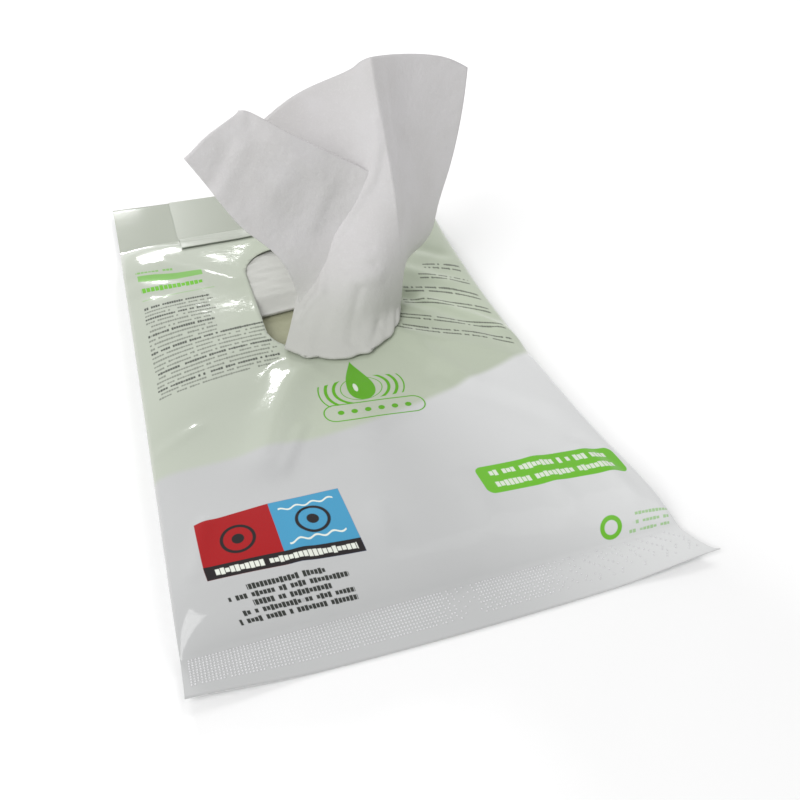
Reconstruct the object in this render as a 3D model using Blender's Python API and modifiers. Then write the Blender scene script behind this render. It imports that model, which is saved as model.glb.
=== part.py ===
"""An opened film pouch of flat wash gloves, with one glove drawn up through its dispensing opening.

Metres. X runs across the pouch, +Y from the crimped end to the plain header, +Z up.
The origin is on the table, under the middle of the pouch.
"""

import math

import bmesh
import bpy

# Pouch
POUCH_WIDTH = 0.178
POUCH_LENGTH = 0.304
FILM = 0.0004
SEAL_HEIGHT = 0.003  # middle of both end seals above the table
SIDE_FOLD_HEIGHT = 0.005
CRIMP_MARGIN = 0.0025
CRIMP_LENGTH = 0.010
HEADER_LENGTH = 0.048
NEAR_SLOPE = 0.030
FAR_SLOPE = 0.040
LEFT_PULL = 0.0008
RIGHT_PULL = 0.021
SIDE_CURVE = 0.55  # power of the curve that draws the sides in
SLOPE_CURVE = 3.0  # power of the slopes beside the seals
DOME = 0.0018
SPARE_HEIGHT = 0.0008
SECTION_POWER = 8.0
SECTION_ROOT = 4.6
BOTTOM_SPREAD = 1.32
SEAM_GROOVE_WIDTH = 0.0009
SEAM_GROOVE_DEPTH = 0.00015
SEAM_FLAP_WIDTH = 0.014

# Gloves: the pouch less the room round them gives their size, 144 mm by 205 mm
GLOVES_LEFT = 7
GLOVE_THICKNESS = 0.0015
GLOVE_TIP_RADIUS = 0.036
GLOVE_CUFF_RADIUS = 0.004
CUFF_ROOM = 0.0175  # from the crimp seal to the cuffs
TIP_ROOM = 0.021  # from the tips to the header
LEFT_ROOM = 0.0057  # from the pouch's left side, where it is drawn in most
RIGHT_ROOM = 0.0065
PRESSED_EDGE = 0.0015  # the lower film lies flat from this far outside the stack
STACK_SWAY = 0.0005
GAP = 0.0003

# Dispensing opening
OPENING_X = -0.005
OPENING_WIDTH = 0.058
OPENING_NEAR = -0.021
OPENING_LENGTH = 0.082
OPENING_RADIUS = 0.019
OPENING_CUT_HEIGHT = 0.0048

# Label
LABEL_WIDTH = 0.108
LABEL = 0.0002
LABEL_CLEARANCE = 0.0006
LABEL_FOLD_SETBACK = 0.014  # from the opening's far edge to the fold
LABEL_FOLD_RADIUS = 0.0005
LABEL_FIXED_LENGTH = 0.013
LABEL_SETTLE = 0.012  # the run in which it comes down on the header
LABEL_TUCK = 0.024  # the part that lies under the header

# Drawn glove
TAIL_SETBACK = 0.025  # from the opening's near edge
TAIL_LENGTH = 0.066
TAIL_WIDTH = 0.120
DRAPE_UNIT = 0.001  # one unit of the sheets' cages

label_seat = LABEL_CLEARANCE + LABEL / 2  # from the film's face to the middle of the label
label_bulge = (FILM + label_seat) / 2  # of the label's bend round the header's edge
label_reach = label_seat + label_bulge + LABEL / 2
near_y = -(POUCH_LENGTH + label_reach) / 2
far_y = near_y + POUCH_LENGTH
middle_y = (near_y + far_y) / 2
seal_y = near_y + CRIMP_MARGIN + CRIMP_LENGTH
header_y = far_y - HEADER_LENGTH
stack_y = seal_y + CUFF_ROOM
glove_length = header_y - TIP_ROOM - stack_y
stack_left = -POUCH_WIDTH / 2 + LEFT_PULL + LEFT_ROOM
glove_width = POUCH_WIDTH / 2 - RIGHT_PULL - RIGHT_ROOM - stack_left
stack_x = stack_left + glove_width / 2
pitch = GLOVE_THICKNESS + GAP
stack_top = FILM + GAP + GLOVES_LEFT * pitch
tail_z = stack_top + GLOVE_THICKNESS / 2
body_top = stack_top + pitch + FILM + SPARE_HEIGHT
opening_middle = OPENING_NEAR + OPENING_LENGTH / 2
tail_near = OPENING_NEAR + TAIL_SETBACK

# Each crease: its ends, its height (a hollow if negative) and its width
CREASES = (
    ((0.018, -0.020), (0.035, -0.060), 0.0012, 0.0050),
    ((0.035, -0.060), (0.060, -0.083), 0.0012, 0.0055),
    ((0.025, -0.052), (0.053, -0.086), -0.0009, 0.0050),
    ((-0.034, -0.036), (-0.051, -0.082), 0.0010, 0.0055),
    ((-0.084, -0.053), (-0.062, -0.046), -0.0008, 0.0050),
    ((-0.070, 0.066), (-0.040, 0.040), 0.0008, 0.0060),
    ((0.030, 0.030), (0.052, 0.010), 0.0009, 0.0060),
)


def material(name, colour, roughness):
    made = bpy.data.materials.new(name)
    made.use_nodes = True
    shader = made.node_tree.nodes["Principled BSDF"]
    shader.inputs["Base Color"].default_value = (*colour, 1.0)
    shader.inputs["Roughness"].default_value = roughness
    return made


def collection(name):
    made = bpy.data.collections.new(name)
    bpy.context.scene.collection.children.link(made)
    return made


def placed(name, mesh, group, finish=None):
    made = bpy.data.objects.new(name, mesh)
    group.objects.link(made)
    if finish:
        mesh.materials.append(finish)
        mesh.shade_smooth()
        mesh.set_sharp_from_angle(angle=math.radians(40))
    return made


def as_cutter(tool):
    tool.hide_render = True
    tool.display_type = "WIRE"
    return tool


def combine(target, operation, tool):
    modifier = target.modifiers.new(tool.name, "BOOLEAN")
    modifier.operation = operation
    modifier.object = tool
    modifier.solver = "EXACT"


def mesh_from(build, name):
    shape = bmesh.new()
    build(shape)
    mesh = bpy.data.meshes.new(name)
    shape.to_mesh(mesh)
    shape.free()
    return mesh


def rise(distance, run):
    """0 at a seal, 1 at the end of the slope that starts there."""
    share = min(max(distance / run, 0.0), 1.0)
    return 1 - (1 - share) ** SLOPE_CURVE


def fullness(y):
    return rise(y - seal_y, NEAR_SLOPE) * rise(header_y - y, FAR_SLOPE)


def flatness(y):
    """0 at a seal, 1 wherever the gloves press the lower film on the table."""
    return rise(y - seal_y, CUFF_ROOM - PRESSED_EDGE) * rise(header_y - y, TIP_ROOM - PRESSED_EDGE)


def edges(y):
    """The pouch's left and right edge at y: the full pack draws its sides in."""
    share = max(1 - (2 * (y - middle_y) / POUCH_LENGTH) ** 2, 0.0) ** SIDE_CURVE
    half = POUCH_WIDTH / 2
    return -half + LEFT_PULL * share, half - RIGHT_PULL * share


def crease_height(x, y):
    total = 0.0
    for (x0, y0), (x1, y1), height, width in CREASES:
        run = math.hypot(x1 - x0, y1 - y0)
        along = ((x - x0) * (x1 - x0) + (y - y0) * (y1 - y0)) / run
        across = ((x - x0) * (y1 - y0) - (y - y0) * (x1 - x0)) / run
        beyond = max(-along, along - run, 0.0)
        total += height * math.exp(-(across**2 + beyond**2) / width**2)
    return total


def section(across):
    return (1 - min(abs(across), 1.0) ** SECTION_POWER) ** (1 / SECTION_ROOT)


def fold_height(y):
    return SEAL_HEIGHT + (SIDE_FOLD_HEIGHT - SEAL_HEIGHT) * fullness(y)


def share_across(x, y):
    left, right = edges(y)
    return (2 * x - left - right) / (right - left)


def top_height(x, y):
    """The film's upper face over the point x, y."""
    across = share_across(x, y)
    full = fullness(y)
    fold = fold_height(y)
    flat = (body_top - fold) * section(across)
    dome = DOME * (1 - min(abs(across), 1.0) ** 2)
    return fold + FILM + full * (flat - FILM + dome + crease_height(x, y) * section(across))


def bottom_height(x, y):
    """The film's lower face, flat on the table under the gloves."""
    fold = fold_height(y) - FILM
    return max(fold * (1 - BOTTOM_SPREAD * section(share_across(x, y)) * flatness(y)), 0.0)


def pillow(shape, y_ends, columns, rows, inset):
    """A closed pillow between the film's two faces, both moved inwards by the inset."""
    near, far = y_ends
    sheets = []
    for lower in (False, True):
        made = bmesh.ops.create_grid(shape, x_segments=columns, y_segments=rows, size=1.0)["verts"]
        for vertex in made:
            y = near + (far - near) * (vertex.co.y + 1) / 2
            left, right = edges(y)
            middle, half = (left + right) / 2, (right - left) / 2
            across = math.sin(vertex.co.x * math.pi / 2)
            x = middle + across * half
            face = bottom_height(x, y) + inset if lower else top_height(x, y) - inset
            centre = fold_height(y)
            least = FILM / 8 if inset else FILM
            z = min(face, centre - least) if lower else max(face, centre + least)
            vertex.co = (middle + across * (half - inset), y, z)
        sheets.append(made)
    bmesh.ops.reverse_faces(shape, faces=list({face for v in sheets[1] for face in v.link_faces}))
    rim = [edge for edge in shape.edges if edge.is_boundary]
    bmesh.ops.bridge_loops(shape, edges=rim)
    bmesh.ops.recalc_face_normals(shape, faces=shape.faces)
    bmesh.ops.dissolve_limit(
        shape, angle_limit=math.radians(0.6), verts=shape.verts, edges=shape.edges
    )
    bmesh.ops.triangulate(shape, faces=shape.faces)


def rounded_outline(x_ends, y_ends, near_radius, far_radius, steps=7):
    """The corners of a rectangle in order, each as an arc."""
    (left, right), (near, far) = x_ends, y_ends
    corners = (
        (left, near, 180, near_radius),
        (right, near, 270, near_radius),
        (right, far, 0, far_radius),
        (left, far, 90, far_radius),
    )
    points = []
    for x, y, start, radius in corners:
        centre_x = x + radius if x == left else x - radius
        centre_y = y + radius if y == near else y - radius
        for step in range(steps + 1):
            angle = math.radians(start + 90 * step / steps)
            points.append((centre_x + radius * math.cos(angle), centre_y + radius * math.sin(angle)))
    return points


def plate(name, outline, height, thickness):
    """A flat outline made a solid of one thickness, centred at a height."""
    curve = bpy.data.curves.new(name, "CURVE")
    curve.dimensions = "2D"
    curve.fill_mode = "BOTH"
    curve.extrude = thickness / 2
    spline = curve.splines.new("POLY")
    spline.points.add(len(outline) - 1)
    for point, (x, y) in zip(spline.points, outline):
        point.co = (x, y, 0.0, 1.0)
    spline.use_cyclic_u = True
    guide = bpy.data.objects.new(name + "_outline", curve)
    bpy.context.scene.collection.objects.link(guide)
    guide.location.z = height
    bpy.context.view_layer.update()
    mesh = bpy.data.meshes.new_from_object(guide.evaluated_get(bpy.context.evaluated_depsgraph_get()))
    mesh.transform(guide.matrix_world)
    bpy.data.objects.remove(guide)
    shape = bmesh.new()
    shape.from_mesh(mesh)
    bmesh.ops.remove_doubles(shape, verts=shape.verts, dist=1e-6)
    bmesh.ops.recalc_face_normals(shape, faces=shape.faces)
    shape.to_mesh(mesh)
    shape.free()
    return mesh


def make_pouch(parts, cutters, finish):
    """The film tube: sealed at both ends, hollow round the gloves, with the opening cut in its top."""
    outer = mesh_from(lambda s: pillow(s, (near_y, far_y), 30, 50, 0.0), "film_pouch")
    inner = mesh_from(lambda s: pillow(s, (seal_y, header_y), 30, 44, FILM), "pouch_inside")
    pouch = placed("film_pouch", outer, parts, finish)
    combine(pouch, "DIFFERENCE", as_cutter(placed("pouch_inside", inner, cutters)))

    centre = body_top + DOME / 2
    outline = rounded_outline(
        (OPENING_X - OPENING_WIDTH / 2, OPENING_X + OPENING_WIDTH / 2),
        (OPENING_NEAR, OPENING_NEAR + OPENING_LENGTH),
        OPENING_RADIUS,
        OPENING_RADIUS,
    )
    hole = placed("opening_cut", plate("opening_cut", outline, centre, OPENING_CUT_HEIGHT), cutters)
    combine(pouch, "DIFFERENCE", as_cutter(hole))

    for side in (-1, 1):
        middle = stack_x + side * SEAM_FLAP_WIDTH / 2
        groove = rounded_outline(
            (middle - SEAM_GROOVE_WIDTH / 2, middle + SEAM_GROOVE_WIDTH / 2),
            (stack_y, stack_y + glove_length - GLOVE_TIP_RADIUS),
            SEAM_GROOVE_WIDTH / 3,
            SEAM_GROOVE_WIDTH / 3,
            steps=2,
        )
        name = "seam_groove_left" if side < 0 else "seam_groove_right"
        cut = placed(name, plate(name, groove, 0.0, 2 * SEAM_GROOVE_DEPTH), cutters)
        combine(pouch, "DIFFERENCE", as_cutter(cut))
    return pouch


def make_stacked_glove(index, parts, finish):
    """One flat glove of the stack, a little out of line with the next."""
    name = f"wash_glove_{index + 1}"
    sway = STACK_SWAY * math.sin(2.4 * index)
    drift = STACK_SWAY * math.cos(1.7 * index)
    left = stack_left + sway
    near = stack_y + drift
    outline = rounded_outline(
        (left, left + glove_width), (near, near + glove_length), GLOVE_CUFF_RADIUS, GLOVE_TIP_RADIUS
    )
    height = FILM + GAP + index * pitch + GLOVE_THICKNESS / 2
    return placed(name, plate(name, outline, height, GLOVE_THICKNESS), parts, finish)


def label_path():
    """Where the label runs: places along Y with the side of the film that each lies on."""
    fold = OPENING_NEAR + OPENING_LENGTH + LABEL_FOLD_SETBACK
    tip = far_y + label_seat
    step = LABEL_FIXED_LENGTH / 4
    path = [(fold + LABEL_FIXED_LENGTH - step * i, "fixed", 0.0) for i in range(5)]
    for i in range(1, 6):
        path.append((fold, "fold", math.pi * i / 6))
    span = tip - fold
    top_steps = 20
    path += [(fold + span * i / top_steps, "over", 0.0) for i in range(top_steps)]
    for i in range(1, 4):
        path.append((tip, "edge", math.pi * i / 4))
    path += [(tip - LABEL_TUCK * i / 5, "under", 0.0) for i in range(6)]
    return path


def label_point(x, place):
    y, lies, turn = place
    lift = 2 * LABEL_FOLD_RADIUS
    upper = top_height(x, min(y, far_y)) + label_seat
    if lies == "fixed":
        return y, upper
    if lies == "fold":
        swing = LABEL_FOLD_RADIUS * math.sin(turn)
        return y - swing, upper + LABEL_FOLD_RADIUS * (1 - math.cos(turn))
    if lies == "over":
        settle = rise(header_y - y, LABEL_SETTLE)
        return y, upper + lift * settle
    if lies == "edge":
        return y + label_bulge * math.sin(turn), SEAL_HEIGHT + 2 * label_bulge * math.cos(turn)
    return y, SEAL_HEIGHT - FILM - label_seat


def make_label(parts, finish):
    """The reseal label, peeled open: folded back on itself, over the header and round its edge."""
    path = label_path()
    columns = 14

    def build(shape):
        grid = bmesh.ops.create_grid(shape, x_segments=columns, y_segments=len(path) - 1, size=1.0)
        for vertex in grid["verts"]:
            x = OPENING_X + vertex.co.x * LABEL_WIDTH / 2
            place = path[round((vertex.co.y + 1) / 2 * (len(path) - 1))]
            y, z = label_point(x, place)
            vertex.co = (x, y, z)

    label = placed("reseal_label", mesh_from(build, "reseal_label"), parts, finish)
    wall = label.modifiers.new("thickness", "SOLIDIFY")
    wall.thickness = LABEL
    wall.offset = 0.0
    return label


# The drawn glove hangs as two sheets that meet at a crease. Rows run from the top down,
# and each row from the left hem to the right one, in drape units from the opening's middle
# and the height of the tail.
drape_start = (OPENING_X, opening_middle, tail_z)
MAIN_SHEET = (
    ((-17, 10, 79), (-1, 8, 89), (16, 4, 97), (24, 0, 103), (40, 10, 99), (60, 18, 94), (74, 22, 87)),
    ((-13, 12, 62), (3, 4, 74), (16, -2, 82), (26, -8, 85), (37, 2, 81), (54, 14, 75), (71, 20, 69)),
    ((-10, 10, 47), (4, 0, 58), (17, -8, 67), (28, -15, 70), (37, -4, 63), (53, 10, 54), (66, 18, 46)),
    ((-11, 4, 34), (2, -8, 45), (15, -18, 52), (28, -23, 54), (36, -10, 44), (48, 4, 34), (59, 12, 29)),
    ((-12, -8, 24), (-2, -20, 32), (12, -28, 37), (28, -28, 34), (34, -18, 26), (41, -6, 17), (48, 4, 15)),
    ((-15, -20, 15), (-6, -34, 19), (7, -37, 19), (22, -32, 16), (26, -20, 10), (25, -10, 8), (23, 0, 8)),
    ((-22, -32, 8), (-20, -44, 8), (-6, -49, 7), (7, -48, 7), (19, -39, 7), (23, -25, 6), (21, -4, 6)),
    ((-18, -29, 7), (-15, -36, 7), (-6, -38, 7), (6, -37, 7), (15, -32, 6), (19, -23, 5), (17, -6, 4)),
    ((-17, -27, 1), (-14, -31, 1), (-6, -33, 1), (5, -32, 1), (13, -28, 1), (17, -21, 1), (16, -8, 1)),
)
FLAP_SHEET = (
    ((-27, -15, 94), (-17, -20, 89), (-5, -22, 81), (8, -20, 72), (19, -11, 65)),
    ((-35, -18, 92), (-26, -28, 85), (-16, -34, 75), (-5, -34, 63), (10, -14, 53)),
    ((-43, -22, 88), (-34, -30, 79), (-24, -36, 66), (-15, -38, 53), (2, -17, 40)),
    ((-51, -28, 86), (-42, -26, 68), (-32, -30, 52), (-21, -34, 41), (-12, -20, 22)),
)


def draped_sheet(name, cage, group, finish, levels):
    """A sheet through a coarse cage, smoothed and given the glove's thickness."""
    rows, columns = len(cage), len(cage[0])

    def build(shape):
        grid = bmesh.ops.create_grid(shape, x_segments=columns - 1, y_segments=rows - 1, size=1.0)
        for vertex in grid["verts"]:
            column = round((vertex.co.x + 1) / 2 * (columns - 1))
            row = round((1 - vertex.co.y) / 2 * (rows - 1))
            vertex.co = [start + unit * DRAPE_UNIT for start, unit in zip(drape_start, cage[row][column])]

    sheet = placed(name, mesh_from(build, name), group, finish)
    smooth = sheet.modifiers.new("drape", "SUBSURF")
    smooth.levels = levels
    smooth.render_levels = levels
    smooth.boundary_smooth = "PRESERVE_CORNERS"
    wall = sheet.modifiers.new("thickness", "SOLIDIFY")
    wall.thickness = GLOVE_THICKNESS
    wall.offset = 0.0
    return sheet


def make_drawn_glove(parts, cutters, finish):
    """The glove that is half out: its tail still lies on the stack under the film."""
    glove = draped_sheet("wash_glove_drawn", MAIN_SHEET, parts, finish, 2)
    flap = draped_sheet("drawn_glove_flap", FLAP_SHEET, cutters, None, 2)
    combine(glove, "UNION", as_cutter(flap))
    outline = rounded_outline(
        (stack_x - TAIL_WIDTH / 2, stack_x + TAIL_WIDTH / 2),
        (tail_near, tail_near + TAIL_LENGTH),
        GLOVE_CUFF_RADIUS,
        GLOVE_CUFF_RADIUS,
    )
    tail = placed("drawn_glove_tail", plate("drawn_glove_tail", outline, tail_z, GLOVE_THICKNESS), cutters)
    combine(glove, "UNION", as_cutter(tail))
    return glove


def build_all():
    for old in list(bpy.data.objects):
        bpy.data.objects.remove(old, do_unlink=True)
    parts = collection("wash_glove_pouch")
    cutters = collection("cutters")
    film = material("printed_film", (0.62, 0.68, 0.60), 0.16)
    cloth = material("needled_nonwoven", (0.74, 0.73, 0.73), 0.85)
    backing = material("label_film", (0.52, 0.58, 0.50), 0.25)
    make_pouch(parts, cutters, film)
    for index in range(GLOVES_LEFT):
        make_stacked_glove(index, parts, cloth)
    make_drawn_glove(parts, cutters, cloth)
    make_label(parts, backing)


build_all()
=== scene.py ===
import math

import bmesh
import bpy
import numpy as np
from mathutils import Matrix, Vector


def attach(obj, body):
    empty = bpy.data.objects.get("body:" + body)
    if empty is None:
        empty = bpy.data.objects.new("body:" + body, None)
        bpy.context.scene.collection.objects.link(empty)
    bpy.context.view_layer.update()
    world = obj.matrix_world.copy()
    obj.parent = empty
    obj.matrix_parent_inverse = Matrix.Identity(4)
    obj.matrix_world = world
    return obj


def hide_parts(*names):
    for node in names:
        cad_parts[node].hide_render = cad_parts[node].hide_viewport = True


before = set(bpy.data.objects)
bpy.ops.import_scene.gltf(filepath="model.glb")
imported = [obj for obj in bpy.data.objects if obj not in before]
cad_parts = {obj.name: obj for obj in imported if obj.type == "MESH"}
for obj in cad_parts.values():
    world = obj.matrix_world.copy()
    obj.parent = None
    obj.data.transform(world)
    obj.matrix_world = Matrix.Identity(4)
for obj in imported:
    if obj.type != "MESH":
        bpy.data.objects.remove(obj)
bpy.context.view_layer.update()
mm = 0.001
scene = bpy.context.scene
scene.view_settings.view_transform = "Standard"

cameraSetup = {
    "place": (-0.07172, -0.293, 0.22599),
    "azimuth": -18.47,
    "elevation": 40.59,
    "roll": 0.425,
    "lens": 38.09,
}
lightSetup = {
    "skyStrength": 0.5,
    "softboxes": (  # place, aim, size, power, seen in the film
        ((-0.78, -0.62, 0.95), (0, 0, 0), 0.7, 9.5, True),
        ((-0.19, 1.19, 0.4), (0, 0, 0), 0.2, 6.5, True),
        ((0.026, 1.353, 0.79), (-0.05, 0.07, 0.018), 0.07, 0.4, True),
        ((0.55, 0.75, 1.00), (0, 0, 0), 0.5, 4, False),
        ((0.9, -0.7, 1.2), (0, 0, 0), 1.2, 3.2, True),
    ),
}


def turnTowards(back):
    return back.to_track_quat("Z", "Y").to_matrix().to_4x4()


def makeCamera():
    azimuth = math.radians(cameraSetup["azimuth"])
    elevation = math.radians(cameraSetup["elevation"])
    back = Vector((
        math.sin(azimuth) * math.cos(elevation),
        -math.cos(azimuth) * math.cos(elevation),
        math.sin(elevation),
    ))
    camera = bpy.data.objects.new("photoCamera", bpy.data.cameras.new("photoCamera"))
    camera.data.lens = cameraSetup["lens"]
    camera.data.clip_start = 0.01
    camera.data.clip_end = 20
    roll = Matrix.Rotation(math.radians(cameraSetup["roll"]), 4, "Z")
    camera.matrix_world = Matrix.Translation(cameraSetup["place"]) @ turnTowards(back) @ roll
    scene.collection.objects.link(camera)
    scene.camera = camera


def makeLights():
    for number, (place, aim, size, power, mirrored) in enumerate(lightSetup["softboxes"]):
        lamp = bpy.data.lights.new(f"softbox{number}", "AREA")
        lamp.size = size
        lamp.energy = power
        made = bpy.data.objects.new(lamp.name, lamp)
        made.visible_glossy = mirrored
        made.matrix_world = Matrix.Translation(place) @ turnTowards(Vector(place) - Vector(aim))
        scene.collection.objects.link(made)
    # the camera and shiny surfaces see a white room, which lights the rest less
    world = bpy.data.worlds.new("paleStudio")
    world.use_nodes = True
    scene.world = world
    wire = Wire(world.node_tree)
    camera, glossy, through = [
        wire.node("LightPath", out=f"Is {kind} Ray")
        for kind in ("Camera", "Glossy", "Transmission")
    ]
    seen = camera.maths("MAXIMUM", glossy.maths("MAXIMUM", through))
    sky = lightSetup["skyStrength"]
    background = world.node_tree.nodes["Background"]
    setFinish(background, {"Color": (1, 1, 1), "Strength": seen * (1 - sky) + sky})


class Wire:
    # a socket with the operators that shader maths is written in
    def __init__(self, tree, socket=None):
        self.tree = tree
        self.socket = socket

    def node(self, kind, settings=None, sockets=None, out=0):
        made = self.tree.nodes.new("ShaderNode" + kind)
        for name, value in (settings or {}).items():
            if name == "stops":
                ramp = made.color_ramp
                for _ in value[2:]:
                    ramp.elements.new(0.5)
                for element, (place, level) in zip(ramp.elements, value):
                    element.position = place
                    element.color = (level, level, level, 1)
            else:
                setattr(made, name, value)
        for key, value in (sockets or {}).items():
            if isinstance(value, Wire):
                self.tree.links.new(value.socket, made.inputs[key])
            else:
                made.inputs[key].default_value = value
        return Wire(self.tree, made.outputs[out])

    def maths(self, operation, *others):
        return self.node("Math", {"operation": operation}, dict(enumerate((self, *others))))

    def __add__(self, other):
        return self.maths("ADD", other)

    def __sub__(self, other):
        return self.maths("SUBTRACT", other)

    def __rsub__(self, other):
        return self.node("Math", {"operation": "SUBTRACT"}, {0: other, 1: self})

    def __mul__(self, other):
        return self.maths("MULTIPLY", other)

    def __truediv__(self, other):
        return self.maths("DIVIDE", other)

    def __abs__(self):
        return self.maths("ABSOLUTE")


def newFinish(name):
    made = bpy.data.materials.new(name)
    made.use_nodes = True
    return made, Wire(made.node_tree), made.node_tree.nodes["Principled BSDF"]


def setFinish(shader, values):
    tree = shader.id_data
    for name, value in values.items():
        if isinstance(value, Wire):
            tree.links.new(value.socket, shader.inputs[name])
        elif isinstance(value, tuple) and len(value) == 3:
            shader.inputs[name].default_value = (*value, 1)
        else:
            shader.inputs[name].default_value = value


def colours(shades):
    # colours given as they are seen, 0 to 255, made ready for a shader's sockets
    return {
        name: tuple(((level / 255 + 0.055) / 1.055) ** 2.4 for level in levels)
        for name, levels in shades.items()
    }


def step(value, edge, soft, below=0, above=1):
    limits = {0: value, 1: edge - soft / 2, 2: edge + soft / 2, 3: below, 4: above}
    return value.node("MapRange", {"interpolation_type": "SMOOTHSTEP"}, limits)


def falls(value, edge, soft):
    return step(value, edge, soft, 1, 0)


def within(value, low, high, soft):
    return step(value, low, soft) * falls(value, high, soft)


def paint(base, over, mask):
    shades = {0: mask}
    for key, shade in ((6, base), (7, over)):
        shades[key] = shade if isinstance(shade, Wire) else (*shade, 1)
    return mask.node("Mix", {"data_type": "RGBA"}, shades, out=2)


def lookUp(value, stops, low, high, least, most, kind="LINEAR"):
    # a value read off a row of stops, each given in its own units
    scaled = tuple(
        ((place - low) / (high - low), (level - least) / (most - least)) for place, level in stops
    )
    found = value.node("ValToRGB", {"stops": scaled}, {0: (value - low) / (high - low)})
    found.socket.node.color_ramp.interpolation = kind
    return found * (most - least) + least


def noise(spot, scale, detail=3, roughness=0.5):
    return spot.node(
        "TexNoise", None, {"Vector": spot, "Scale": scale, "Detail": detail, "Roughness": roughness}
    )


def inMm(place, count):
    return [place.node("SeparateXYZ", None, {0: place}, out=k) * (1 / mm) for k in range(count)]


def bump(height, strength, distance, normal=None):
    sockets = {"Strength": strength, "Distance": distance, "Height": height}
    if normal is not None:
        sockets["Normal"] = normal
    return height.node("Bump", None, sockets)


cloth = colours({
    "plain": (207, 205, 206),
    "damp": (202, 200, 200),
    "bright": (214, 212, 213),
    # painted shade for the cloth lower down
    "low": (185, 186, 180),
    # painted olive shade for the cloth inside the pack's opening
    "oliveShadePatch": (150, 151, 126),
})
inks = colours({
    "tint": (179, 187, 169),
    # the tint with painted shade, for the film's right side
    "paintedShadeTint": (160, 176, 146),
    "header": (162, 167, 155),
    "leftTint": (180, 186, 173),
    # the film's white with painted shade, and a copy of it with painted light
    "white": (185, 186, 186),
    "paintedLitWhite": (213, 214, 214),
    "green": (104, 180, 40),
    "leaf": (92, 162, 34),
    "ink": (45, 48, 44),
    "red": (158, 6, 14),
    "blue": (66, 146, 184),
    "black": (26, 20, 22),
    "pale": (222, 226, 216),
})
labelShades = colours({
    "plain": (150, 155, 143),
    "cloudy": (155, 160, 148),
    # painted shade along the fold
    "paintedFoldShade": (104, 110, 100),
})
crimpShades = colours({"plain": (206, 206, 207), "cloudy": (222, 222, 224)})
# where the print lies, in mm on the film: across from its middle and along it
places = {
    "leftBlock": (-74.5, 31.6),
    "rowPitch": 2.6,
    "dropFoot": (3, -58),
    "dropHeight": 23.5,
    "ripples": (3, -51.5),
    "ripplePitch": 3.2,
    "pill": (4.2, -64.3),
    "pillPitch": 5.2,
    "panelLeft": -70.5,
    "panelMiddle": (-45.7, -110.2),
    "panelRing": 12.3,
    "smallPrint": (-48.3, -128.8),
    "count": (61.8, -139.3),
    "countRows": -136.4,
    "countPitch": 3,
    "greenLabel": (51.5, -112.2),
    "header": 107.8,
    "seam": (181.5, 195.5),
}
# the rows on the right, in mm on the film: how steeply they run down, where each pair lies and starts
rightSlopes = (
    (-40, 0.42), (-27, 0.424), (-17.5, 0.486), (-2.7, 0.44), (7.7, 0.292), (17.6, 0.278), (27.8, 0.134),
)
rightPairs = ((-40, -27.2), (-22.4, -17.5), (-10, -2.7), (2.5, 7.7), (12.6, 17.6), (22.5, 27.8))
rightStarts = ((-40, 29.8), (-22.4, 33.9), (-10, 39.7), (2.5, 42.7), (12.6, 52.7), (22.5, 57.9))
# how far the lines on the left bend at their left end, by where they lie, in mm
leftBends = (
    (-100, 0.5), (-60, 3), (-25, 6.6), (-10, 6), (5, 4), (20, 1), (31, 0), (47, -4), (58, -9),
)


def turned(u, v, centre, degrees):
    # coordinates along and across a line that passes through the centre
    c, s = math.cos(math.radians(degrees)), math.sin(math.radians(degrees))
    x, y = u - centre[0], v - centre[1]
    return x * c + y * s, y * c - x * s


def roundedBox(along, across, halfLength, halfWidth, radius):
    # distance outside a rounded box
    dx = (abs(along) - (halfLength - radius)).maths("MAXIMUM", 0)
    dy = (abs(across) - (halfWidth - radius)).maths("MAXIMUM", 0)
    return (dx * dx + dy * dy).maths("SQRT") - radius


def marks(along, across, row, height, cell, gaps=0.13):
    # a row of marks of uneven height, with gaps like those between words
    place = along / cell
    spot = place.node("CombineXYZ", None, {0: place.maths("FLOOR"), 1: row})
    letter = spot.node("TexWhiteNoise", {"noise_dimensions": "2D"}, {"Vector": spot})
    inCell = abs(place.maths("FRACT") - 0.5)
    tall = (letter * 0.5 + 0.62) * height
    return falls(abs(across) - tall, 0, 0.35) * falls(inCell, 0.42, 0.14) * step(letter, gaps, 0.01)


def leftBlock(shade, u, v):
    left, top = places["leftBlock"]
    pitch = places["rowPitch"]
    reach = ((-30 - u).maths("MAXIMUM", 0) / 44).maths("POWER", 1.5)
    level = v + lookUp(v, leftBends, -100, 70, -9, 7) * reach
    row = ((top - level) / pitch).maths("ROUND")
    across = level + row * pitch - top
    uneven = row.node("TexWhiteNoise", {"noise_dimensions": "1D"}, {"W": row})
    end = step(row, 10.5, 0.1) * 20 + 31.5 - uneven * 3
    along = u - left
    bold = lookUp(row, tuple(
        stop for number in (0, 3, 7, 11, 16, 20) for stop in ((number - 0.5, 1), (number + 0.5, 0))
    ), -1, 24, 0, 1, "CONSTANT")
    mark = marks(along, across, row, bold * 0.14 + 0.58, 1.05)
    mark = mark * step(along, 0, 0.2) * falls(along - end, 0, 0.3)
    mark = mark * within(row, -0.5, 22.5, 0.1) * (bold * 0.32 + 0.55)
    shade = paint(shade, inks["ink"], mark)
    bar = within(level, 47.6, 51.2, 0.5) * within(u, -75, -45, 0.4)
    above = marks(u, level - 53.4, 40, 0.7, 1.7) * within(u, -75.5, -58.2, 0.3)
    line = within(level, 36.6, 37.3, 0.5) * within(u, -74.7, -41.3, 1)
    shade = paint(shade, inks["green"], bar * 0.75 + above * 0.7 + line * 0.35)
    heading = marks(u, level - 42.9, 41, 1.6, 2, 0.1) * within(u, -74.3, -45.8, 0.3)
    return paint(shade, inks["green"], heading)


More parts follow.
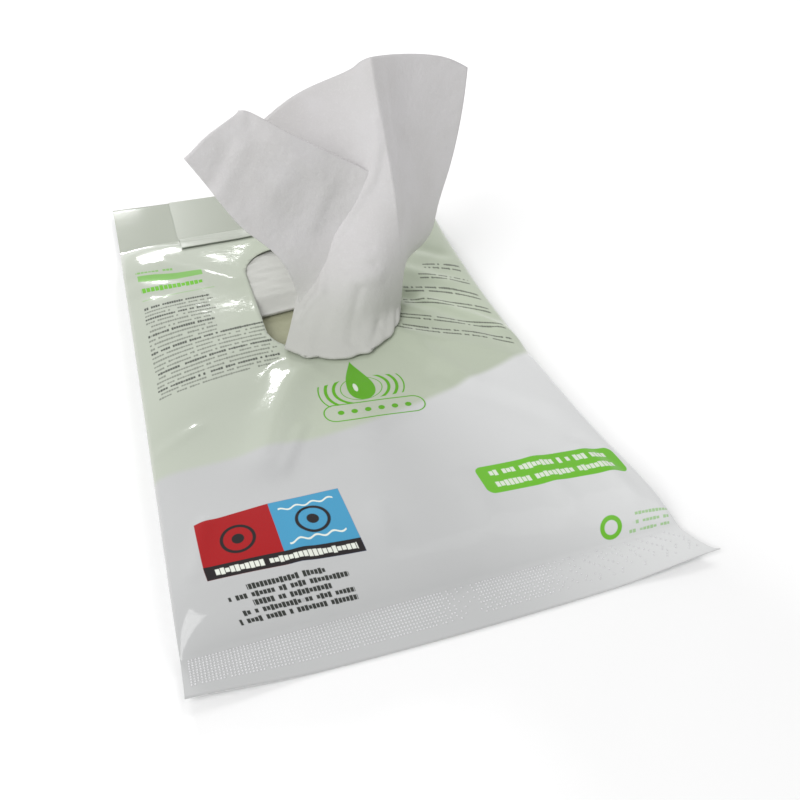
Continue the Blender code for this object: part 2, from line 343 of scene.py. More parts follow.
def rightBlock(shade, u, v):
    level = v + lookUp(v, rightSlopes, -41, 29, 0, 0.5) * (u - 55)
    pair = lookUp(level, rightPairs, -41, 29, -30, 30, "CONSTANT")
    start = lookUp(level, rightStarts, -41, 29, 25, 60, "CONSTANT")
    below = level - pair + 1.4
    row = pair + step(below, 0, 0.01)
    mark = marks(u, abs(below) - 1.4, row, 0.6, 1.05)
    mark = mark * step(u - start, 0, 0.4) * falls(u, 76, 0.4) * within(level, -30.6, 29, 0.2)
    return paint(shade, inks["ink"], mark * 0.8)


def dropMotif(shade, u, v):
    middle, foot = places["dropFoot"]
    share = (v - foot) / places["dropHeight"]
    share = share.node("Clamp", None, {0: share})
    half = share.maths("SQRT") * (1 - share).maths("POWER", 1.25) * 15.5
    drop = falls(abs(u - middle) - half, 0, 0.35) * within(v, -57.9, -34.4, 0.2)
    shade = paint(shade, inks["leaf"], drop)
    glint = (u - 0.9) * (u - 0.9) * 1.6 + (v + 50.5) * (v + 50.5) * 0.22
    shade = paint(shade, inks["pale"], falls(glint, 1.2, 0.5) * 0.85)
    x, y = u - places["ripples"][0], v - places["ripples"][1]
    around = (x * x + y * y * 1.6).maths("SQRT")
    low = falls(v + abs(x) * 0.18, -44, 0.4) * step(v, -58.6, 0.3)
    rings = falls(abs((around / places["ripplePitch"]).maths("FRACT") - 0.45), 0.2, 0.1)
    shade = paint(shade, inks["leaf"], rings * within(around, 8.1, 17.4, 0.2) * low)
    along, across = turned(u, v, places["pill"], -6.5)
    away = roundedBox(along, across, 19.4, 4.6, 4.5)
    spot = (along / places["pillPitch"]).maths("FRACT") - 0.5
    dots = (spot * spot * 27 + across * across).maths("SQRT")
    pill = falls(abs(away), 0.28, 0.35) + falls(dots, 1.25, 0.4) * falls(abs(along), 15.4, 0.2)
    return paint(shade, inks["leaf"], pill)


def colourPanel(shade, u, v):
    left = places["panelLeft"]
    middle, level = places["panelMiddle"]
    slant = v + (u - left) * 0.081
    inside = within(u, left, -21.6, 0.3) * step(slant, -122.7, 0.3)
    inside = inside * falls(v + abs(u + 46) * 0.035, -99, 0.3)
    right = step(u, -45.6, 0.3)
    field = paint(shade, inks["red"], inside)
    field = paint(field, inks["blue"], inside * right)
    x = abs(u - middle) - places["panelRing"]
    around = (x * x + (v - level) * (v - level)).maths("SQRT")
    rings = falls(abs(around - 5.2), 0.55, 0.4) + falls(around, 2, 0.4)
    field = paint(field, inks["black"], rings)
    ripple = abs(v - level) - 7.1 - (u * 1.15).maths("SINE") * 0.55
    ripple = falls(abs(ripple), 0.35, 0.35) * within(u, -43, -24.5, 0.3)
    field = paint(field, inks["pale"], ripple)
    field = paint(field, inks["black"], inside * falls(slant, -117.8, 0.3))
    words = marks(u, slant + 120.3, 43, 1.1, 1.5, 0.1) * within(u, -68.5, -23.5, 0.3)
    return paint(field, inks["pale"], words)


def smallPrint(shade, u, v):
    middle, top = places["smallPrint"]
    pitch = places["rowPitch"]
    level = v + (u + 48) * 0.045
    row = ((top - level) / pitch).maths("ROUND")
    half = 18.6 - step(abs(row - 1), 0.5, 0.1) * falls(row, 2.5, 0.1) * 6.5
    mark = marks(u, level + row * pitch - top, row + 60, 0.9, 1.2)
    mark = mark * falls(abs(u - middle) - half, 0, 0.3) * within(row, -0.5, 4.5, 0.1)
    return paint(shade, inks["ink"], mark)


def countPlace(shade, u, v):
    x, y = u - places["count"][0], v - places["count"][1]
    top, pitch = places["countRows"], places["countPitch"]
    ring = (x * x + y * y).maths("SQRT")
    row = ((top - v) / pitch).maths("ROUND")
    mark = marks(u, v + row * pitch - top, row + 70, 0.6, 1.4)
    mark = mark * within(u, 68.6, 85, 0.3) * within(row, -0.5, 2.5, 0.1)
    return paint(shade, inks["green"], falls(abs(ring - 3.4), 0.85, 0.35) + mark * 0.6)


def greenLabel(shade, u, v):
    along, across = turned(u, v, places["greenLabel"], -1.6)
    inside = falls(roundedBox(along, across, 26.6, 6.4, 2.6), 0, 0.35)
    shade = paint(shade, inks["green"], inside)
    mark = marks(along, abs(across) - 2.7, step(across, 0, 0.01) + 44, 1.3, 1.6)
    return paint(shade, inks["pale"], mark * falls(abs(along), 22.5, 0.3) * 0.9)


def makeClothFinish(name, oliveShadePatch=False):
    made, wire, shader = newFinish(name)
    place = wire.node("TexCoord", out=3)
    cloud = noise(place, 45, 3)
    fibre = noise(place, 1400, 2, 0.6)
    weave = noise(place, 320, 3, 0.6)
    crumple = noise(place, 75, 3, 0.55)
    shade = paint(cloth["plain"], cloth["damp"], step(cloud, 0.5, 0.35))
    shade = paint(shade, cloth["bright"], step(fibre, 0.62, 0.2) * 0.35)
    x, y, z = inMm(place, 3)
    # painted shade: the cloth is painted darker towards the bottom, mottled by noise
    shade = paint(shade, cloth["low"], falls(z + cloud * 14, 46, 34) * 0.9)
    if oliveShadePatch:
        # painted shade: an olive patch by the opening's near end stands for the green-lit shade inside
        # the pack
        oliveShadeMask = falls(y, 17, 4) * step(y, -34, 8) * within(x, -48, 40, 10)
        shade = paint(shade, cloth["oliveShadePatch"], oliveShadeMask)
    setFinish(shader, {
        "Base Color": shade,
        "Roughness": weave * 0.2 + 0.66,
        "Normal": bump(fibre, 0.25, 0.0002, bump(weave, 0.22, 0.0006, bump(crumple, 0.4, 0.0022))),
        "Specular IOR Level": 0.35,
    })
    return made


def makeLabelFinish():
    made, wire, shader = newFinish("labelBack")
    place = wire.node("TexCoord", out=3)
    cloud = noise(place, 30, 3)
    fine = noise(place, 500, 2)
    shade = paint(labelShades["plain"], labelShades["cloudy"], cloud)
    # painted shade: a dark line along the fold's front stands for the shade under the fold
    near = falls(inMm(place, 2)[1], label["foldY"] / mm, 0.5)
    shade = paint(shade, labelShades["paintedFoldShade"], near * 0.9)
    setFinish(shader, {
        "Base Color": shade,
        "Roughness": cloud * 0.08 + 0.3,
        "Normal": bump(fine, 0.06, 0.0004),
        "Specular IOR Level": 0.2,
    })
    return made


def makeCrimpFinish():
    made, wire, shader = newFinish("crimpedFilm")
    place = wire.node("TexCoord", out=3)
    cloud = noise(place, 60, 3)
    setFinish(shader, {
        "Base Color": paint(crimpShades["plain"], crimpShades["cloudy"], cloud),
        "Roughness": cloud * 0.1 + 0.16,
        "Specular IOR Level": 0.4,
    })
    return made


def makeFilmFinish():
    made, wire, shader = newFinish("printedFilm")
    uv = wire.node("UVMap", {"uv_map": "film"})
    u, v = inMm(uv, 2)
    upper = 1 - step(abs(u), pouch["width"] / 2 / mm, 0.2)
    place = wire.node("TexCoord", out=3)
    cloud = noise(place, 14, 2)
    edge = (u + 45) * (u + 45) * 0.0019 - 74.5
    tinted = step(v - edge, 0, 4)
    # painted shade: the tint is painted darker and greener towards the right, where the film turns away
    # from the light
    paintedShadeSide = step(u, 26, 44) * step(v, -30, 50) * tinted
    # painted light and shade: the film's white is painted lighter towards the right and far end and
    # darker towards the left and near end, mottled by noise
    paintedLightGradient = step(u + v * 0.25 + cloud * 16, 16, 90)
    plain = paint(inks["white"], inks["paintedLitWhite"], paintedLightGradient)
    tint = paint(inks["tint"], inks["leftTint"], falls(u, -22, 60))
    shade = paint(plain, tint, tinted * upper)
    shade = paint(shade, inks["paintedShadeTint"], paintedShadeSide * upper * 0.12)
    shade = paint(shade, inks["header"], step(v, places["header"], 2) * upper)
    page = shade
    for block in (leftBlock, rightBlock, dropMotif, colourPanel, smallPrint, greenLabel, countPlace):
        page = block(page, u, v)
    page = paint(shade, page, upper)
    seam = within(u, *places["seam"], 0.4)
    page = paint(page, inks["pale"], seam * 0.3)
    ripple = noise(place, 60, 3) * (1 - step(v, 107, 4) * 0.85)
    fine = noise(place, 420, 2)
    normal = bump(seam, 0.6, 0.0002, bump(ripple, 0.18, 0.0016))
    setFinish(shader, {
        "Base Color": page,
        "Roughness": fine * 0.04 + 0.08,
        "Normal": bump(fine, 0.05, 0.0004, normal),
        "Specular IOR Level": 0.3,
    })
    return made


def meshObject(name, points, faces, finish, uv=None):
    mesh = bpy.data.meshes.new(name)
    mesh.from_pydata([tuple(p) for p in points], [], [tuple(f) for f in faces])
    mesh.update()
    mesh.validate()
    if uv is not None:
        layer = mesh.uv_layers.new(name="film")
        loops = np.empty(len(mesh.loops), dtype=np.int32)
        mesh.loops.foreach_get("vertex_index", loops)
        layer.data.foreach_set("uv", np.asarray(uv, dtype=np.float32)[loops].ravel())
    mesh.materials.append(finish)
    mesh.shade_smooth()
    made = bpy.data.objects.new(name, mesh)
    scene.collection.objects.link(made)
    return made


def gridFaces(rows, columns):
    # the faces of a grid of points that are numbered row by row
    return [
        (r * columns + c, r * columns + c + 1, (r + 1) * columns + c + 1, (r + 1) * columns + c)
        for r in range(rows - 1)
        for c in range(columns - 1)
    ]


def addWall(piece, thickness, offset):
    wall = piece.modifiers.new("wall", "SOLIDIFY")
    wall.thickness = thickness
    wall.offset = offset
    wall.use_rim = True


def applyModifiers(piece):
    bpy.context.view_layer.update()
    evaluated = piece.evaluated_get(bpy.context.evaluated_depsgraph_get())
    mesh = bpy.data.meshes.new_from_object(evaluated)
    piece.modifiers.clear()
    piece.data = mesh


def rise(distance, run):
    share = np.clip(np.asarray(distance) / run, 0, 1)
    return 1 - (1 - share) ** 3


def smooth(value, low, high):
    share = np.clip((np.asarray(value) - low) / (high - low), 0, 1)
    return share * share * (3 - 2 * share)


pouch = {
    "width": 0.178,
    "length": 0.304,
    "sealHeight": 0.003,
    "foldHeight": 0.005,
    "crimp": 0.0125,  # crimp and its plain margin
    "header": 0.048,
    "nearSlope": 0.03,
    "farSlope": 0.04,
    "leftPull": 0.0008,
    "rightPull": 0.021,
    "sideCurve": 0.55,
    "dome": 0.0018,
    "bodyTop": 0.0163,
    "sectionPower": 8,
    "sectionRoot": 4.6,
    "bottomSpread": 1.32,
    "halfFin": 0.0002,
    "wall": 0.00012,
    "nearFlat": 0.016,  # how far from the seals the lower film comes down to the table
    "farFlat": 0.0195,
    "underGap": 0.00005,
    "headerLift": 0.0002,
    "headerWave": (0.0001, 52, 0.8),  # height, turn per metre, shift
    "droop": 0.0025,
    "droopPower": 1.3,
    "droopEnds": (0.048, 0.086),
    "cornerLift": 0.0006,
    "bow": 0.0024,
    "columns": 132,
    "rows": 220,
    "crimpRows": 14,
    "headerRows": 24,
    "underColumns": 30,
    "tableRows": 401,
    "tableColumns": 360,
    "snap": 0.00042,  # points this near the opening's outline are moved onto it
}
nearY = -0.152675
farY = nearY + pouch["length"]
middleY = (nearY + farY) / 2
sealY = nearY + pouch["crimp"]
headerY = farY - pouch["header"]
opening = {
    "x": -0.005,
    "y": 0.02,
    "halfWidth": 0.029,
    "halfLength": 0.041,
    "radius": 0.019,
    "touch": 2e-6,  # points this near its outline count as on it
    "halvings": 24,  # how often a crossing of it is narrowed down
}

# each crease in mm: the points it runs through, its height (a hollow if negative), its width
creases = (
    ((18, -20), (35, -60), 1, 4.5),
    ((35, -60), (60, -83), 0.7, 6),
    ((37.4, 0), (48.1, -11.6), (62.3, -25.6), (70, -37), 1.2, 3),
    ((42, -11), (54, -27), (66, -44), -0.8, 3.4),
    ((60, -30), (68, -52), (76, -78), 0.7, 2.8),
    ((25, -52), (53, -86), -0.6, 5.5),
    ((-29, -38), (-34, -46.5), (-40.5, -58), (-49, -79), 3.1, 8.1),
    ((-33, -65.9), (-43.9, -85.4), 0.7, 1.6),
    ((-84, -53), (-62, -46), -0.2, 4),
    ((-84, -60), (-70, -54), 0.5, 2.5),
    ((-70, 66), (-40, 40), 0.8, 6),
    ((-86, 60), (-66, 52), -0.4, 4),
    ((-86, 44), (-70, 40), -0.3, 3.5),
    ((30, 30), (52, 10), 1.2, 5),
    ((40, 50), (58, 36), -1, 4.5),
    ((30, 4), (60, -20), -0.8, 5),
    ((24, -24), (58, -48), 0.7, 4),
    ((-60, 90), (-30, 84), -1.2, 5),
    ((-80, -118), (-74, -100), 0.8, 3),
    ((-48, -128), (-43, -108), 0.6, 3),
    ((-20, -130), (-18, -112), 0.6, 3.5),
    ((16, -130), (14, -108), 0.7, 4),
    ((45, -130), (40, -106), 0.7, 3.5),
    ((68, -130), (60, -104), 0.9, 3.5),
    ((60, -100), (72, -122), -0.9, 4),
)
# slow waves all over the film: length in mm, direction in degrees, height in mm, shift
waves = (
    (31, 20, 0.06, 0.3),
    (23, 75, 0.05, 1.9),
    (41, 130, 0.1, 4),
    (17, 160, 0.03, 2.4),
    (55, 100, 0.14, 5.1),
)


def waveHeight(x, y):
    total = np.zeros_like(x)
    for length, degrees, height, shift in waves:
        a = math.radians(degrees)
        along = x * math.cos(a) + y * math.sin(a)
        total = total + height * mm * np.sin(2 * math.pi * along / (length * mm) + shift)
    return total


def fullness(y):
    return rise(y - sealY, pouch["nearSlope"]) * rise(headerY - y, pouch["farSlope"])


def flatness(y):
    return rise(y - sealY, pouch["nearFlat"]) * rise(headerY - y, pouch["farFlat"])


def sideLines(y):
    share = np.clip(1 - (2 * (y - middleY) / pouch["length"]) ** 2, 0, 1) ** pouch["sideCurve"]
    half = pouch["width"] / 2
    return -half + pouch["leftPull"] * share, half - pouch["rightPull"] * share


def creaseHeight(x, y):
    total = np.zeros_like(x)
    x, y = x / mm, y / mm
    for *line, height, width in creases:
        nearest = np.full_like(x, np.inf)
        for (x0, y0), (x1, y1) in zip(line, line[1:]):
            dx, dy = x1 - x0, y1 - y0
            share = np.clip(((x - x0) * dx + (y - y0) * dy) / (dx * dx + dy * dy), 0, 1)
            nearest = np.minimum(nearest, (x - x0 - share * dx) ** 2 + (y - y0 - share * dy) ** 2)
        total = total + height * mm * np.exp(-nearest / width**2)
    return total


def section(across):
    bulge = 1 - np.minimum(np.abs(across), 1) ** pouch["sectionPower"]
    return np.maximum(bulge, 0) ** (1 / pouch["sectionRoot"])


def foldHeight(y):
    return pouch["sealHeight"] + (pouch["foldHeight"] - pouch["sealHeight"]) * fullness(y)


def shareAcross(x, y):
    left, right = sideLines(y)
    return (2 * x - left - right) / (right - left)


def topHeight(x, y):
    across = shareAcross(x, y)
    full = fullness(y)
    fold = foldHeight(y)
    flat = (pouch["bodyTop"] - fold) * section(across)
    dome = pouch["dome"] * (1 - np.minimum(np.abs(across), 1) ** 2)
    lines = (creaseHeight(x, y) + waveHeight(x, y)) * section(across)
    return fold + pouch["halfFin"] + full * (flat - pouch["halfFin"] + dome + lines)


def bottomHeight(x, y):
    fold = foldHeight(y) - pouch["halfFin"]
    drop = pouch["bottomSpread"] * section(shareAcross(x, y)) * flatness(y)
    return np.maximum(fold * (1 - drop), pouch["underGap"])


def filmGrid(yLine, columns):
    # points across the film at each y, closer together towards its sides
    share = np.sin(np.linspace(-1, 1, columns + 1) * math.pi / 2)
    left, right = sideLines(yLine)
    x = (left + right)[:, None] / 2 + share[None, :] * (right - left)[:, None] / 2
    return x, np.repeat(yLine[:, None], columns + 1, axis=1), share


def filmTable():
    # lengths measured on the film: across it as a share of each strip, and along its middle
    yLine = np.linspace(nearY, farY, pouch["tableRows"])
    x, y, share = filmGrid(yLine, pouch["tableColumns"])
    z = topHeight(x, y)
    run = np.cumsum(np.hypot(np.diff(x, axis=1), np.diff(z, axis=1)), axis=1)
    run = np.concatenate([np.zeros((len(yLine), 1)), run], axis=1)
    middle = z[:, len(share) // 2]
    along = np.concatenate([[0], np.cumsum(np.hypot(np.diff(yLine), np.diff(middle)))])
    return share, yLine, run / run[:, -1:], along - np.interp(0, yLine, along)


def filmPlace(x, y, table):
    share, yLine, run, along = table
    across = np.clip(shareAcross(x, y), -1, 1)
    column = np.clip(np.searchsorted(share, across) - 1, 0, len(share) - 2)
    row = np.clip(np.searchsorted(yLine, y) - 1, 0, len(yLine) - 2)
    cs = (across - share[column]) / (share[column + 1] - share[column])
    rs = (y - yLine[row]) / (yLine[row + 1] - yLine[row])
    low = run[row, column] * (1 - cs) + run[row, column + 1] * cs
    high = run[row + 1, column] * (1 - cs) + run[row + 1, column + 1] * cs
    part = low * (1 - rs) + high * rs
    return pouch["width"] * (part - 0.5), np.interp(y, yLine, along)


def headerWave(x, y):
    # the header lifts a little towards its free edge
    height, turn, shift = pouch["headerWave"]
    return smooth(y, headerY, farY) * (height * np.sin(x * turn + shift) + pouch["headerLift"])


def finShape(x, y, z):
    # the crimped end droops to the table in its middle and bows a little; its corners stay up
    out = np.clip((sealY - y) / (sealY - nearY), 0, 1)
    middle = 1 - smooth(np.abs(x), *pouch["droopEnds"])
    z = z - pouch["droop"] * out ** pouch["droopPower"] * middle
    z = z + pouch["cornerLift"] * out * (1 - middle)
    y = y - pouch["bow"] * out * (1 - (x / (pouch["width"] / 2)) ** 2)
    return y, z + headerWave(x, y)


def openingDistance(x, y):
    # outside the opening's rounded outline this is more than nothing
    dx = np.abs(x - opening["x"]) - (opening["halfWidth"] - opening["radius"])
    dy = np.abs(y - opening["y"]) - (opening["halfLength"] - opening["radius"])
    outside = np.hypot(np.maximum(dx, 0), np.maximum(dy, 0))
    return outside + np.minimum(np.maximum(dx, dy), 0) - opening["radius"]


def snapToOpening(x, y, reach):
    tiny = 1e-5
    for _ in range(3):
        away = openingDistance(x, y)
        gx = (openingDistance(x + tiny, y) - openingDistance(x - tiny, y)) / (2 * tiny)
        gy = (openingDistance(x, y + tiny) - openingDistance(x, y - tiny)) / (2 * tiny)
        near = np.abs(away) < reach
        x = np.where(near, x - gx * away, x)
        y = np.where(near, y - gy * away, y)
    return x, y


def cutOpening(x, y, faces):
    # each face across the outline is trimmed to it, and those inside it go
    away = openingDistance(np.array(x), np.array(y))
    away = np.where(np.abs(away) < opening["touch"], 0, away).tolist()
    crossings = {}

    def crossing(a, b):
        key = (min(a, b), max(a, b))
        if key not in crossings:
            low, high = 0, 1
            for _ in range(opening["halvings"]):
                share = (low + high) / 2
                px = x[a] + (x[b] - x[a]) * share
                py = y[a] + (y[b] - y[a]) * share
                if (openingDistance(px, py) < 0) == (away[a] < 0):
                    low = share
                else:
                    high = share
            x.append(px)
            y.append(py)
            away.append(0)
            crossings[key] = len(x) - 1
        return crossings[key]

    kept = []
    for face in faces:
        if all(away[i] >= 0 for i in face):
            kept.append(face)
            continue
        if all(away[i] <= 0 for i in face):
            continue
        trimmed = []
        for i, a in enumerate(face):
            b = face[(i + 1) % len(face)]
            if away[a] >= 0:
                trimmed.append(a)
            if away[a] * away[b] < 0:
                trimmed.append(crossing(a, b))
        if len(trimmed) > 2:
            kept.append(tuple(trimmed))
    return np.array(x), np.array(y), kept


def makePouch(finish):
    columns, rows, under = pouch["columns"], pouch["rows"], pouch["underColumns"]
    yLine = np.concatenate([
        np.linspace(nearY, sealY, pouch["crimpRows"])[:-1],
        np.linspace(sealY, headerY, rows)[:-1],
        np.linspace(headerY, farY, pouch["headerRows"]),
    ])
    count = len(yLine)
    gx, gy = snapToOpening(*filmGrid(yLine, columns)[:2], pouch["snap"])
    wide = columns + 1
    x, y, faces = cutOpening(gx.ravel().tolist(), gy.ravel().tolist(), gridFaces(count, wide))
    z = topHeight(x, y)
    table = filmTable()
    topU, topV = filmPlace(x, y, table)
    topCount = len(x)
    bx, by, _ = filmGrid(yLine, under)
    bz = bottomHeight(bx, by)
    faces += [tuple(topCount + k for k in (a, d, c, b)) for a, b, c, d in gridFaces(count, under + 1)]
    for r in range(count - 1):
        a, b = topCount + r * (under + 1), topCount + (r + 1) * (under + 1)
        faces.append((r * wide, (r + 1) * wide, b, a))
        faces.append((r * wide + columns, a + under, b + under, (r + 1) * wide + columns))
    underU, underV = filmPlace(bx.ravel(), by.ravel(), table)
    underU = pouch["width"] - underU
    uv = np.stack([np.concatenate([topU, underU]), np.concatenate([topV, underV])], axis=1)
    x = np.concatenate([x, bx.ravel()])
    y = np.concatenate([y, by.ravel()])
    z = np.concatenate([z, bz.ravel()])
    y, z = finShape(x, y, z)
    made = meshObject("filmPouch", np.stack([x, y, z], axis=1), faces, finish, uv)
    shape = bmesh.new()
    shape.from_mesh(made.data)
    loose = [v for v in shape.verts if not v.link_faces]
    bmesh.ops.delete(shape, geom=loose, context="VERTS")
    shape.to_mesh(made.data)
    shape.free()
    addWall(made, pouch["wall"], -1)
    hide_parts("film_pouch")
    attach(made, "root")


crimp = {
    "columns": 161,
    "rows": 10,
    "start": 0.0002,  # from the seal's line to the first row
    "pitch": 0.00093,
    "dotRadius": 0.00038,
    "dotHeight": 0.0003,
    "sides": (0.014, 0.986),  # the first and last column, as shares of the width
    "fullTo": (-0.014, 0.002),  # where the close dots on the left fade out
    "patch": (0.8, (0.002, 0.008), (0.024, 0.036)),  # share, and where it comes in and goes
    "stray": 0.08,
    "fade": (0.6, 60),  # at the seal, and how much more per metre away from it
    "scatter": (9700, 41000),
}


def crimpTree(finish):
    tree = bpy.data.node_groups.new("crimpDots", "GeometryNodeTree")
    face = tree.interface
    face.new_socket("Geometry", in_out="INPUT", socket_type="NodeSocketGeometry")
    for name in ("dotRadius", "dotHeight"):
        made = face.new_socket(name, in_out="INPUT", socket_type="NodeSocketFloat")
        made.default_value = crimp[name]
    face.new_socket("Geometry", in_out="OUTPUT", socket_type="NodeSocketGeometry")
    add = tree.nodes.new
    entry, leave = add("NodeGroupInput"), add("NodeGroupOutput")
    dot, size = add("GeometryNodeMeshUVSphere"), add("ShaderNodeCombineXYZ")
    scatter, real = add("GeometryNodeInstanceOnPoints"), add("GeometryNodeRealizeInstances")
    paintIt = add("GeometryNodeSetMaterial")
    for name, value in (("Segments", 6), ("Rings", 4), ("Radius", 1)):
        dot.inputs[name].default_value = value
    paintIt.inputs["Material"].default_value = finish
    for source, out, target, into in (
        (entry, "dotRadius", size, "X"),
        (entry, "dotRadius", size, "Y"),
        (entry, "dotHeight", size, "Z"),
        (entry, "Geometry", scatter, "Points"),
        (dot, "Mesh", scatter, "Instance"),
        (size, 0, scatter, "Scale"),
        (scatter, "Instances", real, "Geometry"),
        (real, "Geometry", paintIt, "Geometry"),
        (paintIt, "Geometry", leave, "Geometry"),
    ):
        tree.links.new(source.outputs[out], target.inputs[into])
    return tree


def makeCrimp(finish):
    y = sealY - crimp["start"] - np.arange(crimp["rows"]) * crimp["pitch"]
    left, right = sideLines(y)
    share = np.linspace(*crimp["sides"], crimp["columns"])
    gx = left[:, None] + (right - left)[:, None] * share[None, :]
    gy = np.repeat(y[:, None], crimp["columns"], axis=1)
    gz = topHeight(gx, gy)
    uneven = 0.5 + 0.5 * np.sin(gx * crimp["scatter"][0] + gy * crimp["scatter"][1])
    share, comesIn, goes = crimp["patch"]
    patch = share * smooth(gx, *comesIn) * (1 - smooth(gx, *goes))
    bitten = np.maximum(1 - smooth(gx, *crimp["fullTo"]), patch)
    least, growth = crimp["fade"]
    kept = bitten + crimp["stray"] > uneven * (least + growth * (sealY - gy))
    gy, gz = finShape(gx, gy, gz)
    points = np.stack([gx, gy, gz], axis=2)[kept]
    made = meshObject("crimpDots", points, [], finish)
    grown = made.modifiers.new("dots", "NODES")
    grown.node_group = crimpTree(finish)
    for item in grown.node_group.interface.items_tree:
        if item.in_out == "INPUT" and item.name in crimp:
            grown[item.identifier] = crimp[item.name]
    applyModifiers(made)
    made.data.shade_smooth()
    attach(made, "root")


label = {
    "halfWidth": 0.054,
    "thickness": 0.00012,
    "seat": 0.00022,  # from the film to the label's middle
    "foldY": 0.075,
    "foldRadius": 0.0003,
    "fixed": 0.013,  # how much of it still sticks beyond the fold
    "settle": 0.012,
    "tuck": 0.024,  # how far it reaches back under the header
    "bulge": 0.00035,
    "edgeHalf": 0.0004,
    "underDrop": 0.00045,
    "columns": 60,
    "border": 0.998,  # the border columns are narrow, so that the light on its edges stays even
    "steps": {"fixed": 12, "fold": 10, "over": 90, "edge": 8, "under": 16},
}


def labelPath():
    fold, steps = label["foldY"], label["steps"]
    tip = farY + label["seat"]
    path = [(y, "fixed", 0) for y in np.linspace(fold + label["fixed"], fold, steps["fixed"])]
    path += [(fold, "fold", math.pi * i / steps["fold"]) for i in range(1, steps["fold"])]
    path += [(y, "over", 0) for y in np.linspace(fold, tip, steps["over"])[:-1]]
    path += [(tip, "edge", math.pi * i / steps["edge"]) for i in range(steps["edge"] + 1)]
    path += [(y, "under", 0) for y in np.linspace(tip, tip - label["tuck"], steps["under"])[1:]]
    return path


def makeLabel(finish):
    columns, border = label["columns"], label["border"]
    across = np.concatenate([[-1], np.linspace(-border, border, columns - 1), [1]])
    x = opening["x"] + across * label["halfWidth"]
    radius = label["foldRadius"]
    rows = []
    for y, lies, turn in labelPath():
        on = np.full_like(x, min(y, farY))
        upper = topHeight(x, on) + label["seat"]
        wave = headerWave(x, on)
        if lies == "fold":
            y -= radius * math.sin(turn)
            z = upper + radius * (1 - math.cos(turn))
        elif lies == "over":
            z = upper + 2 * radius * rise(headerY - y, label["settle"]) + wave
        elif lies == "edge":
            y += label["bulge"] * math.sin(turn)
            z = pouch["sealHeight"] + label["edgeHalf"] * math.cos(turn) + wave
        elif lies == "under":
            z = pouch["sealHeight"] - label["underDrop"] + wave
        else:
            z = upper
        rows.append(np.stack([x, np.full_like(x, y), z], axis=1))
    made = meshObject("peeledLabel", np.concatenate(rows), gridFaces(len(rows), columns + 1), finish)
    addWall(made, label["thickness"], 0)
    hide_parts("reseal_label")
    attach(made, "root")


glove = {
    "width": 0.144,
    "length": 0.205,
    "thickness": 0.0015,
    "tipRadius": 0.036,
    "cuffRadius": 0.004,
    "left": -0.0825,
    "near": -0.122675,
    "pitch": 0.0018,
    "bottom": 0.0007,
    "count": 7,
    "sway": 0.0005,
    "turns": (2.4, 1.7),  # how the gloves' places differ, across and along
    # the edge's section: inset, and height as a share of half the thickness
    "edge": ((0, 0), (0.0005, 0.45), (0.0012, 0.8), (0.0028, 1)),
    "cornerSteps": 12,
}


def roundedOutline(left, right, near, far, nearRadius, farRadius, steps):
    points = []
    for x, y, start, radius in (
        (left, near, 180, nearRadius),
        (right, near, 270, nearRadius),
        (right, far, 0, farRadius),
        (left, far, 90, farRadius),
    ):
        cx = x + radius if x == left else x - radius
        cy = y + radius if y == near else y - radius
        for k in range(steps + 1):
            angle = math.radians(start + 90 * k / steps)
            points.append((cx + radius * math.cos(angle), cy + radius * math.sin(angle)))
    return points


def makeFlatGlove(index, finish):
    left = glove["left"] + glove["sway"] * math.sin(glove["turns"][0] * index)
    near = glove["near"] + glove["sway"] * math.cos(glove["turns"][1] * index)
    outline = np.array(roundedOutline(
        left, left + glove["width"], near, near + glove["length"],
        glove["cuffRadius"], glove["tipRadius"], glove["cornerSteps"],
    ))
    half = glove["thickness"] / 2
    middle = glove["bottom"] + index * glove["pitch"] + half
    pull = outline - np.array([left + glove["width"] / 2, near + glove["length"] / 2])
    pull = pull / np.linalg.norm(pull, axis=1)[:, None]
    rings = [(inset, -height) for inset, height in reversed(glove["edge"][1:])] + list(glove["edge"])
    points = []
    for inset, height in rings:
        points += [(px, py, middle + height * half) for px, py in outline - pull * inset]
    count = len(outline)
    top = (len(rings) - 1) * count
    faces = [
        (low + i, low + j, low + count + j, low + count + i)
        for low in range(0, top, count)
        for i, j in zip(range(count), (*range(1, count), 0))
    ]
    faces.append(tuple(reversed(range(count))))
    faces.append(tuple(range(top, top + count)))
    name = f"flatGlove{index + 1}"
    made = meshObject(name, points, faces, finish)
    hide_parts(f"wash_glove_{index + 1}")
    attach(made, "root")


drawn = {
    "wall": 0.0012,
    "crestColumn": 4,  # the main fold runs down this column of the cage
    "rowSteps": 17,
    "columnSteps": 18,
}
pleats = {  # places in rows and columns of the cage
    "comeIn": (5, 7),
    "goOut": (7.6, 8.4),
    "endAcross": (3.6, 4.8),
    "waves": ((7.4, 0.9, 1), (12.1, 2.2, 0.5)),  # turn per column, shift, share
    "depth": 0.0005,
    "middle": (-0.003, 0.004),
}
tail = {
    "left": -0.0705,
    "right": 0.0495,
    "near": 0.0125,  # at nearX, from where its edge slants
    "nearX": -0.0323,
    "slant": 0.13,
    "far": 0.076,
    "height": 0.01405,
    "swell": 0.0027,
    "swellMiddle": (-0.031, 0.038),
    "swellHalf": (0.018, 0.034),
    "edgeRun": 0.012,
    "ripple": 0.00012,
    "ripples": ((0.35, 690, 0, 1), (-0.2, 1130, 1.3, 0.6)),  # slant, turn, shift, share
    "columns": 121,
    "rows": 101,
}
